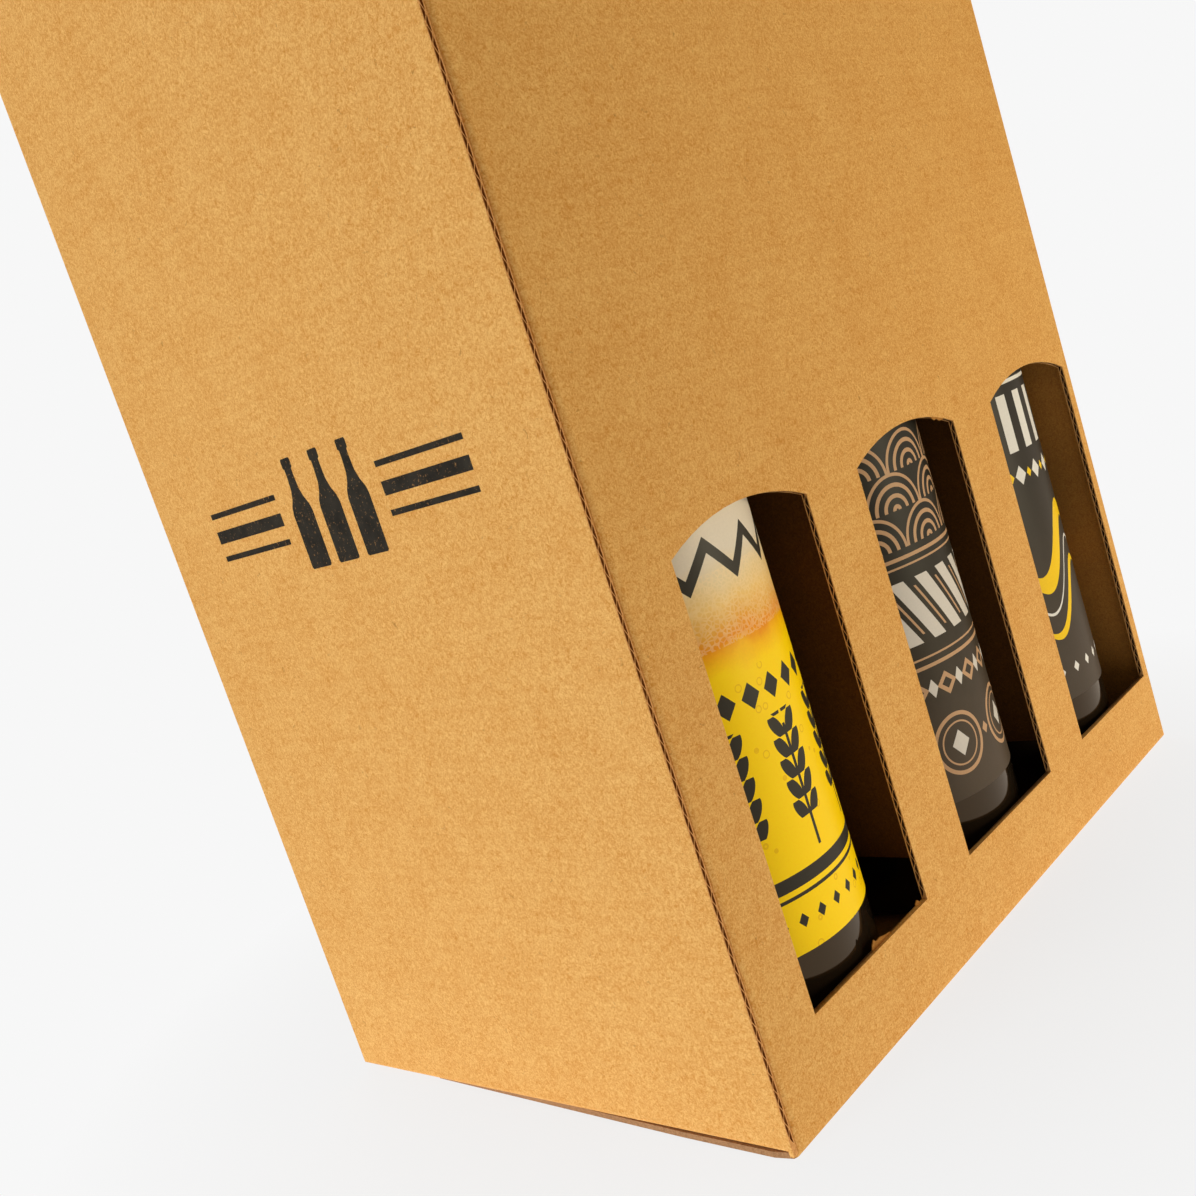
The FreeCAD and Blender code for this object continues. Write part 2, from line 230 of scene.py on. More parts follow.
def stamp_ink():
    """Grey flexo ink on kraft, with pinholes where the paper shows."""
    material, tree, shader = blank_material("stamp_ink")
    where = object_place(tree)
    holes = maths(tree, "SUBTRACT", noise(tree, where, 1700, 2, 0.6), 0.62)
    holes = maths(tree, "MULTIPLY", holes, 6.0, clamp=True)
    shade = noise(tree, where, 300, 2, 0.5)
    ink = ramp(tree, shade, [(0.3, picked(34, 31, 26)), (0.7, picked(48, 44, 37))])
    tree.links.new(mixed(tree, holes, ink, picked(150, 110, 64)), shader.inputs["Base Color"])
    shader.inputs["Roughness"].default_value = 0.85
    shader.inputs["Specular IOR Level"].default_value = 0.1
    return material


LABEL_MAP = "label_map"


class LabelPrint:
    """Coated paper with inks laid one over another, in millimetres along the label and up from its foot."""

    def __init__(self, name, width, height):
        self.material, self.tree, self.shader = blank_material(name)
        place = node(self.tree, "UVMap", {"uv_map": LABEL_MAP}).outputs["UV"]
        parts = node(self.tree, "SeparateXYZ", None, Vector=place)
        self.u = self.maths("MULTIPLY_ADD", parts.outputs["X"], width, -width / 2)
        self.v = self.maths("MULTIPLY", parts.outputs["Y"], height)
        self.place = node(self.tree, "CombineXYZ", None, X=self.u, Y=self.v).outputs["Vector"]
        self.colour = None

    def maths(self, operation, a, b=0.0, c=0.0, clamp=False):
        return maths(self.tree, operation, a, b, c, clamp)

    def noise(self, scale, detail=2.0):
        return noise(self.tree, self.place, scale, detail)

    def row(self, pitch, start=0.0, value=None):
        """The place within one of a row of equal fields, from its middle."""
        value = self.u if value is None else value
        return self.maths("WRAP", self.maths("SUBTRACT", value, start), pitch / 2, -pitch / 2)

    def away(self, value, middle=0.0):
        """How far a value lies from a middle, on either side."""
        return self.maths("ABSOLUTE", self.maths("SUBTRACT", value, middle))

    def band(self, low, high):
        """Everything between two heights."""
        return self.maths("LESS_THAN", self.away(self.v, (low + high) / 2), (high - low) / 2)

    def far(self, a, b):
        """Distance from the two parts of a way."""
        return self.maths("SQRT", self.maths("MULTIPLY_ADD", a, a, self.maths("MULTIPLY", b, b)))

    def both(self, *masks):
        mask = masks[0]
        for other in masks[1:]:
            mask = self.maths("MULTIPLY", mask, other)
        return mask

    def either(self, *masks):
        mask = masks[0]
        for other in masks[1:]:
            mask = self.maths("MAXIMUM", mask, other)
        return mask

    def lay(self, mask, colour):
        """Print a colour over what is there, where the mask is 1."""
        self.colour = mixed(self.tree, mask, self.colour, colour)

    def diamonds(self, pitch, middle, half_width, half_height, start=0.0):
        across = self.maths("DIVIDE", self.away(self.row(pitch, start)), half_width)
        up = self.maths("DIVIDE", self.away(self.v, middle), half_height)
        return self.maths("LESS_THAN", self.maths("ADD", across, up), 1.0)

    def rings(self, pitch, middle, radius, line, start=0.0):
        out = self.far(self.row(pitch, start), self.maths("SUBTRACT", self.v, middle))
        return self.maths("LESS_THAN", self.away(out, radius), line / 2)

    def zigzag(self, pitch, middle, rise, thick):
        line = self.maths("MULTIPLY", self.maths("PINGPONG", self.u, pitch / 2), 4 * rise / pitch)
        line = self.maths("ADD", line, middle - rise)
        return self.maths("LESS_THAN", self.away(self.maths("SUBTRACT", self.v, line)), thick / 2)

    def ribbon(self, pitch, middle, rise, thick, swell=0.0):
        """A wavy line that swells on its way up."""
        turn = self.maths("MULTIPLY", self.u, math.tau / pitch)
        line = self.maths("MULTIPLY_ADD", self.maths("SINE", turn), rise, middle)
        half = self.maths("MULTIPLY_ADD", self.maths("COSINE", turn), swell / 2, thick / 2)
        return self.maths("LESS_THAN", self.away(self.maths("SUBTRACT", self.v, line)), half)

    def ears(self, pitch, foot, top):
        """Ears of barley: pairs of slanting oval grains up a stem."""
        step, from_stem, half_long, half_wide = 4.6, 2.35, 3.1, 1.45
        cos, sin = math.cos(math.radians(58)), math.sin(math.radians(58))
        across = self.away(self.row(pitch))
        up = self.row(step, 0.0, self.v)
        aside = self.maths("SUBTRACT", across, from_stem)
        long_way = self.maths("ADD", self.maths("MULTIPLY", aside, cos), self.maths("MULTIPLY", up, sin))
        wide_way = self.maths("SUBTRACT", self.maths("MULTIPLY", up, cos), self.maths("MULTIPLY", aside, sin))
        out = self.far(self.maths("DIVIDE", long_way, half_long), self.maths("DIVIDE", wide_way, half_wide))
        grains = self.both(self.maths("LESS_THAN", out, 1.0), self.band(foot + 7, top))
        stem = self.both(self.maths("LESS_THAN", across, 0.45), self.band(foot, top - 3))
        return self.either(grains, stem)

    def fans(self, pitch, foot, start):
        """Half-round fans of thin arcs: what each covers, and its arcs."""
        up = self.maths("SUBTRACT", self.v, foot)
        out = self.far(self.row(pitch, start), up)
        cover = self.both(self.maths("LESS_THAN", out, pitch / 2), self.maths("GREATER_THAN", up, 0.0))
        arc_pitch, first_arc, half_line = 2.6, 0.9, 0.5
        arcs = self.maths("LESS_THAN", self.away(self.row(arc_pitch, first_arc, out)), half_line)
        return cover, self.both(cover, arcs)

    def finish(self, roughness):
        grain = self.noise(1.7, 3)
        value = self.maths("MULTIPLY_ADD", grain, 0.14, 0.94)
        tinted = node(self.tree, "HueSaturation", None, Value=value, Color=self.colour)
        self.tree.links.new(tinted.outputs["Color"], self.shader.inputs["Base Color"])
        self.shader.inputs["Roughness"].default_value = roughness
        self.shader.inputs["Specular IOR Level"].default_value = 0.12
        return self.material


def barley_label(width, height):
    """Yellow field under a cream head of froth, with ink bands and a row of barley ears."""
    ink = picked(52, 48, 40)
    art = LabelPrint("barley_label_paper", width, height)
    wander = 6.0
    level = art.maths("MULTIPLY_ADD", art.noise(0.12, 3), wander, art.maths("ADD", art.v, -wander / 2))
    level = art.maths("DIVIDE", level, height)
    yellow, amber = picked(255, 211, 0), picked(232, 140, 12)
    stops = [(60, yellow), (64, picked(247, 184, 10)), (67, amber), (70, picked(230, 164, 62)),
             (74, picked(236, 192, 112)), (79, picked(228, 202, 152)), (84, picked(222, 208, 186))]
    art.colour = ramp(art.tree, level, [(v / height, colour) for v, colour in stops])
    froth = node(art.tree, "TexVoronoi", {"feature": "DISTANCE_TO_EDGE"}, Vector=art.place, Scale=0.95)
    rims = art.maths("LESS_THAN", froth.outputs["Distance"], 0.13)
    strength = art.maths("MULTIPLY", art.noise(0.5), 0.6)
    art.lay(art.both(rims, art.band(66, 81), strength), picked(248, 216, 164))
    bubble = node(art.tree, "TexVoronoi", None, Vector=art.place, Scale=0.22)
    rim = art.maths("LESS_THAN", art.away(bubble.outputs["Distance"], 0.17), 0.03)
    art.lay(art.both(rim, art.band(0, 60), 0.55), picked(222, 166, 6))
    art.lay(art.zigzag(13, 83, 3.6, 3.4), ink)
    art.lay(art.diamonds(6.5, 54.5, 2.5, 2.9), ink)
    art.lay(art.ears(16, 19, 49), ink)
    art.lay(art.either(art.band(13.4, 16.4), art.band(11.4, 12.2)), ink)
    art.lay(art.diamonds(5.2, 6.6, 1.3, 1.6), ink)
    return art.finish(0.4)


def fan_label(width, height):
    """Charcoal with copper fans, rules and rings, and a rope of off-white strokes."""
    copper, chalk = picked(186, 146, 108), picked(205, 196, 184)
    art = LabelPrint("fan_label_paper", width, height)
    fade = art.maths("MULTIPLY_ADD", art.noise(0.2), 0.12, art.maths("DIVIDE", art.v, height))
    charcoals = [(0.1, picked(78, 66, 53)), (0.45, picked(48, 42, 32)), (0.9, picked(28, 26, 19))]
    art.colour = ramp(art.tree, fade, charcoals)
    for foot, start in ((82, 0.0), (73, 9.0), (64, 0.0)):
        cover, arcs = art.fans(18, foot, start)
        art.lay(cover, picked(33, 30, 23))
        art.lay(arcs, copper)
    art.lay(art.band(53.4, 64), picked(42, 38, 30))
    rules = [art.band(*rule) for rule in ((61.4, 62.3), (59.6, 60.1), (34.2, 35.1), (36.6, 37.1))]
    art.lay(art.either(*rules), copper)
    lean = art.maths("MULTIPLY_ADD", art.v, 0.55, art.u)
    strokes = art.maths("LESS_THAN", art.away(art.row(7.8, 0.0, lean)), 2.1)
    art.lay(art.both(strokes, art.band(40.5, 56.5)), chalk)
    lines = art.maths("LESS_THAN", art.away(art.row(7.8, 3.9, lean)), 0.35)
    art.lay(art.both(lines, art.band(42.5, 54.5)), copper)
    art.lay(art.diamonds(9, 29, 3.2, 3.0), copper)
    art.lay(art.diamonds(9, 29, 1.7, 1.5), picked(58, 50, 40))
    art.lay(art.diamonds(9, 29, 1.5, 2.4, 4.5), chalk)
    art.lay(art.rings(20, 13.5, 7.4, 1.0, 10), copper)
    art.lay(art.rings(20, 13.5, 5.4, 0.45, 10), copper)
    art.lay(art.diamonds(20, 13.5, 2.8, 3.4, 10), chalk)
    art.lay(art.diamonds(20, 13.5, 1.3, 1.6, 0), copper)
    return art.finish(0.45)


def wave_label(width, height):
    """Charcoal with off-white staves above and a broad yellow wave below."""
    chalk, yellow = picked(222, 217, 208), picked(241, 196, 17)
    art = LabelPrint("wave_label_paper", width, height)
    fade = art.maths("MULTIPLY_ADD", art.noise(0.2), 0.12, art.maths("DIVIDE", art.v, height))
    charcoals = [(0.1, picked(74, 64, 54)), (0.5, picked(52, 46, 38)), (0.9, picked(30, 28, 23))]
    art.colour = ramp(art.tree, fade, charcoals)
    staves = art.maths("LESS_THAN", art.away(art.row(7.6)), 1.9)
    art.lay(art.both(staves, art.band(71, 87)), chalk)
    art.lay(art.diamonds(7.6, 64.5, 2.2, 2.7), chalk)
    art.lay(art.diamonds(7.6, 64.5, 1.1, 1.4, 3.8), yellow)
    art.lay(art.band(89.6, 90.6), chalk)
    art.lay(art.diamonds(7.6, 96, 2.0, 2.4), chalk)
    art.lay(art.ribbon(36, 42, 9.0, 5.2, 2.4), yellow)
    art.lay(art.ribbon(36, 33.5, 9.0, 0.8), chalk)
    art.lay(art.ribbon(36, 27, 9.0, 2.0, 1.2), yellow)
    art.lay(art.diamonds(6.0, 8, 1.2, 1.6), chalk)
    return art.finish(0.42)


# Meshes

def add_object(name, bm):
    mesh = bpy.data.meshes.new(name)
    bm.to_mesh(mesh)
    bm.free()
    made = bpy.data.objects.new(name, mesh)
    bpy.context.scene.collection.objects.link(made)
    return made


def dress(made, materials, slot, replaces=None, body="carton", smooth=None):
    """Give a finished piece its materials and body, and hide the node it stands for. Its slot is not used."""
    for material in materials:
        made.data.materials.append(material)
    if smooth is not None:
        made.data.polygons.foreach_set("use_smooth", [True] * len(made.data.polygons))
        made.data.set_sharp_from_angle(angle=math.radians(smooth))
    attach(made, body)
    if replaces:
        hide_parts(replaces)
    return made


def welded_copy(node_name):
    bm = bmesh.new()
    bm.from_mesh(frame["nodes"][node_name].data)
    bmesh.ops.remove_doubles(bm, verts=bm.verts, dist=0.002 * MM)
    return bm


def settle(made):
    """Turn a piece's modifiers into mesh."""
    bpy.context.view_layer.update()
    result = bpy.data.meshes.new_from_object(made.evaluated_get(bpy.context.evaluated_depsgraph_get()))
    made.modifiers.clear()
    made.data = result


def fluted(name, node_name, materials, channels):
    """A node's shape with its flutes open at the cut edges, which get materials of their own; the channel
    walls' dark material is painted shade.
    """
    made = add_object(name, welded_copy(node_name))
    bmesh.ops.recalc_face_normals(channels, faces=channels.faces)
    for face in channels.faces:
        face.material_index = FLUTE_SLOT
    cutter = add_object("channels", channels)
    for material in materials:
        made.data.materials.append(material)
        cutter.data.materials.append(material)
    modifier = made.modifiers.new("carve", "BOOLEAN")
    modifier.operation = "DIFFERENCE"
    modifier.solver = "EXACT"
    modifier.material_mode = "INDEX"
    modifier.object = cutter
    settle(made)
    bpy.data.objects.remove(cutter)
    bm = bmesh.new()
    bm.from_mesh(made.data)
    for face in bm.faces:
        if face.material_index != FLUTE_SLOT:
            beside = {other.material_index for edge in face.edges for other in edge.link_faces}
            if FLUTE_SLOT in beside:
                face.material_index = EDGE_SLOT
    bm.to_mesh(made.data)
    bm.free()
    return made


def even_shading(made):
    """Keep the big flat faces flat where they run into a fold's rounding."""
    modifier = made.modifiers.new("even_shading", "WEIGHTED_NORMAL")
    modifier.keep_sharp = True
    modifier.weight = 100


# Flutes: the air channels between the two liners and the wavy sheet in the middle. A cutter starts PAST the
# board's edge, and the seam's channels run in by SEAM_FLUTES.

WAVE_STEPS = 6
CHANNEL_HALF = 0.38 * FLUTE
SEAM_FLUTES = 4 * MM
PAST = 1 * MM


def lift(bm, face, vec):
    """Give a flat face a thickness: the new side moves by vec."""
    solid = bmesh.ops.extrude_face_region(bm, geom=[face], use_keep_orig=True)
    moved = [v for v in solid["geom"] if isinstance(v, bmesh.types.BMVert)]
    bmesh.ops.translate(bm, verts=moved, vec=vec)


def flutes(bm, place, run, span):
    """Channels along run, side by side over span. place turns along, across and depth into a point."""
    rise = (BOARD - 2 * LINER - MEDIUM) / 2
    first = math.ceil((span[0] + CHANNEL_HALF) / (FLUTE / 2))
    last = math.floor((span[1] - CHANNEL_HALF) / (FLUTE / 2))
    for k in range(first, last + 1):
        middle = k * FLUTE / 2
        outer = k % 2 == 0
        depth = LINER if outer else BOARD - LINER
        rim = [(middle - CHANNEL_HALF, depth), (middle + CHANNEL_HALF, depth)]
        for i in range(WAVE_STEPS + 1):
            across = middle + CHANNEL_HALF - 2 * CHANNEL_HALF * i / WAVE_STEPS
            centre = BOARD / 2 + rise * math.cos(math.tau * across / FLUTE)
            rim.append((across, centre - MEDIUM / 2 if outer else centre + MEDIUM / 2))
        start = bm.faces.new([bm.verts.new(place(run[0], *point)) for point in rim])
        lift(bm, start, Vector(place(run[1], 0, 0)) - Vector(place(run[0], 0, 0)))


def carton_channels():
    """Flutes of the front, which open in the windows, of the left panel's seam, and of the flaps."""
    bm = bmesh.new()
    near, by_sill = FOLD + 1.5 * MM, 0.3 * MM
    flap_end, dust_reach = BACK - 30 * MM, 64 * MM
    for span in ((4.5 * MM, SILL - by_sill), (SILL + by_sill, TOP + FLUTE)):
        flutes(bm, lambda along, across, depth: (along, FRONT + depth, across),
               (LEFT + BOARD + near, RIGHT - near), span)
    flutes(bm, lambda along, across, depth: (LEFT + depth, along, across),
           (FRONT - PAST, FRONT + SEAM_FLUTES), (BOARD + FOLD, TOP - 5 * MM))
    flutes(bm, lambda along, across, depth: (along, across, depth),
           (LEFT - PAST, RIGHT + PAST), (FRONT + near, flap_end))
    for wall, inward in ((LEFT, 1), (RIGHT, -1)):
        flutes(bm, lambda along, across, depth: (wall + inward * across, along, DUST_TOP - depth),
               (FRONT + 4 * MM, BACK - BOARD - 0.6 * MM), (near, dust_reach))
    return bm


def inner_side(made, fits):
    """Put the uncut faces that look into the box in the inner liner, whose darker colour is painted shade."""
    for face in made.data.polygons:
        if face.material_index == OUTER_SLOT and fits(face.center, face.normal):
            face.material_index = INNER_SLOT


def carton(boards):
    made = fluted("folded_carton", "carton", boards, carton_channels())
    slack = 0.05 * MM

    def looks_in(centre, normal):
        between = LEFT + BOARD - slack < centre.x < RIGHT - BOARD + slack
        between = between and FRONT + BOARD - slack < centre.y < BACK - BOARD + slack
        on_flaps = centre.z > DUST_TOP - BOARD and normal.z > 0.9
        return between and centre.z > BOTTOM - slack and not on_flaps

    dress(made, [], "kraft_board", "carton", smooth=32)
    inner_side(made, looks_in)
    # At the seam the cut edge is a slightly lighter copy, painted light against its groove's shade, and the
    # flute walls a lighter painted shade.
    for face in made.data.polygons:
        at_seam = face.center.x < LEFT + BOARD and face.center.y < FRONT + SEAM_FLUTES + PAST
        if at_seam and face.material_index in (EDGE_SLOT, FLUTE_SLOT):
            face.material_index = SEAM_SLOT if face.material_index == EDGE_SLOT else SEAM_WALL_SLOT
    even_shading(made)


def flap_edge(board):
    """Side edge of the outer bottom flap, which shows under the left panel's foot, in a darker grey-brown
    that is painted shade. Its outline is in millimetres from the left front corner."""
    outline = [(1.3, 1.7), (0.5, 6.0), (0.6, 30.0), (2.7, 113.8), (9.0, 113.8), (3.0, 1.7)]
    edge_inset = 0.03 * MM
    bm = bmesh.new()
    face = bm.faces.new([bm.verts.new((LEFT + x * MM, FRONT + y * MM, edge_inset)) for x, y in outline])
    lift(bm, face, (0, 0, BOARD - 2 * edge_inset))
    bmesh.ops.recalc_face_normals(bm, faces=bm.faces)
    dress(add_object("flap_edge", bm), [board], "kraft_board")


def lid(boards):
    low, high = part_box("lid")
    bm = bmesh.new()
    flutes(bm, lambda along, across, depth: (along, across, TOP - depth),
           (low.x - PAST, high.x + PAST), (low.y + FOLD + PAST, BACK - FOLD - PAST))
    made = fluted("tuck_lid", "lid", boards, bm)
    dress(made, [], "kraft_board", "lid", body="lid", smooth=32)
    behind_tuck = low.y + FOLD + 2 * MM

    def looks_in(centre, normal):
        towards_middle = normal.y > 0.5 if centre.y < behind_tuck else normal.y < -0.5
        return normal.z < -0.5 or towards_middle

    inner_side(made, looks_in)
    even_shading(made)


def divider(name, long_way, boards):
    """A slotted sheet whose upright flutes open at its top edge."""
    low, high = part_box(name)
    bm = bmesh.new()
    run = (DIVIDER_TOP - 9 * MM, DIVIDER_TOP + PAST)
    if long_way:
        flutes(bm, lambda along, across, depth: (across, low.y + depth, along),
               run, (low.x + MM, high.x - MM))
    else:
        flutes(bm, lambda along, across, depth: (low.x + depth, across, along),
               run, (low.y + MM, high.y - MM))
    made = fluted(name + "_board", name, boards, bm)
    dress(made, [], "divider_board", name)


# Bottles

GLASS_STEPS = 96


def turned(bm, profile, centre, steps=GLASS_STEPS):
    """Spin a profile of radius and height in millimetres about an upright axis that it starts and ends on."""
    verts = [bm.verts.new((r * MM, 0, z * MM)) for r, z in profile]
    edges = [bm.edges.new(pair) for pair in zip(verts, verts[1:])]
    bmesh.ops.spin(bm, geom=verts + edges, cent=(0, 0, 0), axis=(0, 0, 1), angle=math.tau, steps=steps,
                   use_merge=True)
    bmesh.ops.remove_doubles(bm, verts=bm.verts, dist=0.001 * MM)
    bmesh.ops.recalc_face_normals(bm, faces=bm.faces)
    bmesh.ops.translate(bm, verts=bm.verts, vec=centre)


def eased(start, end, pull, steps):
    """Points on a curve that leaves and arrives upright, as a bottle's shoulder does."""
    (r0, z0), (r1, z1) = start, end
    points = []
    for i in range(1, steps + 1):
        t = i / steps
        weights = ((1 - t) ** 3, 3 * t * (1 - t) ** 2, 3 * t * t * (1 - t), t ** 3)
        heights = (z0, z0 + pull[0] * (z1 - z0), z1 - pull[1] * (z1 - z0), z1)
        r = r0 * (weights[0] + weights[1]) + r1 * (weights[2] + weights[3])
        points.append((r, sum(w * z for w, z in zip(weights, heights))))
    return points


def bottle_profile(body):
    """From the middle of the punt, round the heel and up the body, shoulder and neck to the lip."""
    heel, shoulder, neck = 5, 148, (15.5, 206)
    rim = body - 6.5
    points = [(0, 3.0), (0.33 * rim, 2.75), (0.66 * rim, 1.9), (0.89 * rim, 0.8), (rim - 0.5, 0.15), (rim, 0)]
    turns = [math.radians(10 * i) for i in range(10)]
    points += [(body - heel + heel * math.sin(a), heel - heel * math.cos(a)) for a in turns]
    points += [(body, 25), (body, 60), (body, 105), (body, 146), (body, shoulder)]
    points += eased((body, shoulder), neck, (0.52, 0.5), 22)
    points += [(14.2, 224), (13.1, 238.6), (13.2, 239.6), (13.8, 240.3), (14.4, 241), (14.6, 241.7)]
    points += [(14.6, 242.5), (14.3, 243.2), (13.4, 243.8), (12.5, 244.1), (12.3, 244.6), (12.3, 252.4)]
    points += [(12.7, 253.3), (13.1, 253.9), (13.2, 254.6), (13.2, 258.6), (12.9, 259.5), (12.2, 260)]
    return points + [(6, 260), (0, 260)]


def bottle(number, glass):
    low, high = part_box(f"bottle_{number}")
    axis = Vector(((low.x + high.x) / 2, (low.y + high.y) / 2, low.z))
    bm = bmesh.new()
    turned(bm, bottle_profile((high.x - low.x) / 2 / MM), axis)
    made = add_object(f"glass_bottle_{number}", bm)
    dress(made, [glass], "dark_glass", f"bottle_{number}", smooth=40)
    return axis


LABEL_WRAP = math.radians(330)
LABEL_STEPS = 110
PAPER = 0.26 * MM


def label_size(number):
    """Radius and height of a label, from its node."""
    low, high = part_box(f"label_{number}")
    return (high.x - low.x) / 2, high.z - low.z


def label(number, axis, paper, slot, facing):
    """Paper round the bottle, its print facing the window and a bare strip of glass behind."""
    low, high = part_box(f"label_{number}")
    outer = label_size(number)[0]
    inner = outer - PAPER
    bm = bmesh.new()
    corners = [(inner, low.z), (outer, low.z), (outer, high.z), (inner, high.z)]
    start = bm.faces.new([bm.verts.new((r, 0, z)) for r, z in corners])
    bmesh.ops.spin(bm, geom=[start], cent=(0, 0, 0), axis=(0, 0, 1), angle=LABEL_WRAP, steps=LABEL_STEPS)
    bmesh.ops.recalc_face_normals(bm, faces=bm.faces)
    layer = bm.loops.layers.uv.new(LABEL_MAP)
    for face in bm.faces:
        for loop in face.loops:
            turn = math.atan2(loop.vert.co.y, loop.vert.co.x) % math.tau
            if turn > LABEL_WRAP + 0.1:  # a rounding error just before the paper's start
                turn = 0.0
            loop[layer].uv = (turn / LABEL_WRAP, (loop.vert.co.z - low.z) / (high.z - low.z))
    turn = Matrix.Rotation(facing - LABEL_WRAP / 2, 4, "Z")
    bmesh.ops.transform(bm, matrix=Matrix.Translation((axis.x, axis.y, 0)) @ turn, verts=bm.verts)
    made = add_object(f"wrapped_label_{number}", bm)
    dress(made, [paper], slot, f"label_{number}", smooth=30)


# A cap's pleats: where under its top they start and over what depth they grow, in millimetres, and how far
# they swell, as a share of the radius
CAP_TEETH = 21
STEPS_TO_TOOTH = 6
PLEATS_FROM, PLEATS_GROW, PLEAT = 2.2, 3.2, 0.026


def crown_cap(number, axis, lacquer):
    """Pressed disc with a pleated skirt, and its hollow inner side round the lip."""
    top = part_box(f"crown_cap_{number}")[1].z
    outer = [(0, 0), (8, 0), (11.6, -0.05), (12.6, -0.35), (13.3, -1.0), (13.6, -1.9), (13.72, -3.0)]
    outer += [(14.0, -4.2), (14.45, -5.3), (14.62, -5.85)]
    inner = [(14.3, -5.85), (13.95, -5.0), (13.5, -3.9), (13.4, -2.8), (13.3, -1.8), (12.4, -0.9)]
    inner += [(10, -0.42), (0, -0.42)]
    bm = bmesh.new()
    turned(bm, outer + inner, (0, 0, 0), CAP_TEETH * STEPS_TO_TOOTH)
    for vert in bm.verts:
        flare = min(1.0, max(0.0, (-vert.co.z / MM - PLEATS_FROM) / PLEATS_GROW))
        turn = math.atan2(vert.co.y, vert.co.x)
        swell = 1 + PLEAT * flare * (math.cos(CAP_TEETH * turn) - 0.75)
        vert.co.x *= swell
        vert.co.y *= swell
    bmesh.ops.translate(bm, verts=bm.verts, vec=(axis.x, axis.y, top))
    made = add_object(f"crimped_cap_{number}", bm)
    dress(made, [lacquer], "cap_metal", f"crown_cap_{number}", smooth=50)


# Shreds that the die left at the windows: how thick, how far under the board's face, and their outlines in
# millimetres along the front and up

SHRED = 0.25 * MM
UNDER_FACE = 0.08 * MM
INNER_SHREDS = [
    [(-62.6, 20.9), (-61.8, 22.4), (-60.8, 23.3), (-60.1, 22.5), (-58.3, 22.6), (-56.2, 22.0),
     (-54.6, 21.8), (-53.4, 20.9)],
    [(-43.0, 21.0), (-42.4, 22.0), (-41.6, 22.5), (-40.9, 21.9), (-40.2, 21.0)],
]
OUTER_SHREDS = [
    [(20.0, 121.0), (20.7, 119.9), (21.6, 119.2), (22.8, 119.4), (23.9, 118.6), (25.4, 118.4),
     (26.8, 119.2), (23.4, 120.4)],
]


def torn_liner(board):
    """Scraps of liner in the board's thickness, left hanging at the cut."""
    bm = bmesh.new()
    for depth, shreds in ((UNDER_FACE, OUTER_SHREDS), (BOARD - UNDER_FACE - SHRED, INNER_SHREDS)):
        for outline in shreds:
            face = bm.faces.new([bm.verts.new((x * MM, FRONT + depth, z * MM)) for x, z in outline])
            lift(bm, face, (0, SHRED, 0))
    bmesh.ops.recalc_face_normals(bm, faces=bm.faces)
    dress(add_object("torn_liner", bm), [board], "kraft_board")


# Print on the side panel: three plain bottles between rules

PRINT_Z = 146 * MM
PRINT_H = 25 * MM
PRINT_PITCH = 10.5 * MM
RULE_PITCH = 5.2 * MM
RULE_MIDDLE, RULE_WIDTH = 33 * MM, 28 * MM
INK_PROUD, INK_SUNK = 0.03 * MM, 0.08 * MM


def side_print(ink):
    """A film of ink on the left panel, let a little into the board."""
    bm = bmesh.new()
    for count in (-1, 0, 1):
        stamped_bottle(bm, count * PRINT_PITCH)
    for side in (-1, 1):
        for row, thick in ((-1, 1.3), (0, 3.0), (1, 1.3)):
            stamped_rule(bm, side * RULE_MIDDLE, row * RULE_PITCH, RULE_WIDTH, thick * MM)
    made = add_object("side_print", bm)
    dress(made, [ink], "kraft_board")


def stamped_bottle(bm, y):
    """Half of a bottle's outline, mirrored and filled."""
    low = PRINT_Z - PRINT_H / 2
    half = [(0, 0), (3.3, 0), (3.7, 0.4), (3.7, 12.6), (3.3, 14.2), (2.2, 16.0), (1.5, 18.0)]
    half += [(1.3, 21.0), (1.3, 22.6), (1.75, 22.9), (1.75, 24.6), (1.5, 25), (0, 25)]
    points = [(w, z) for w, z in half] + [(-w, z) for w, z in reversed(half[1:-1])]
    face = bm.faces.new([bm.verts.new((LEFT, y + w * MM, low + z * MM)) for w, z in points])
    thicken(bm, face)


def stamped_rule(bm, y, z, width, height):
    grid = bmesh.ops.create_grid(bm, x_segments=1, y_segments=1, size=0.5)
    flat = Matrix.Diagonal((height, width, 1, 1))
    upright = Matrix.Rotation(math.pi / 2, 4, "Y")
    place = Matrix.Translation((LEFT, y, PRINT_Z + z)) @ upright @ flat
    bmesh.ops.transform(bm, matrix=place, verts=grid["verts"])
    thicken(bm, grid["verts"][0].link_faces[0])


def thicken(bm, face):
    """Ink film from just proud of the panel to just inside it."""
    lift(bm, face, (-INK_PROUD, 0, 0))
    bmesh.ops.translate(bm, verts=face.verts, vec=(INK_SUNK, 0, 0))
    bmesh.ops.recalc_face_normals(bm, faces=bm.faces)


# Hinge

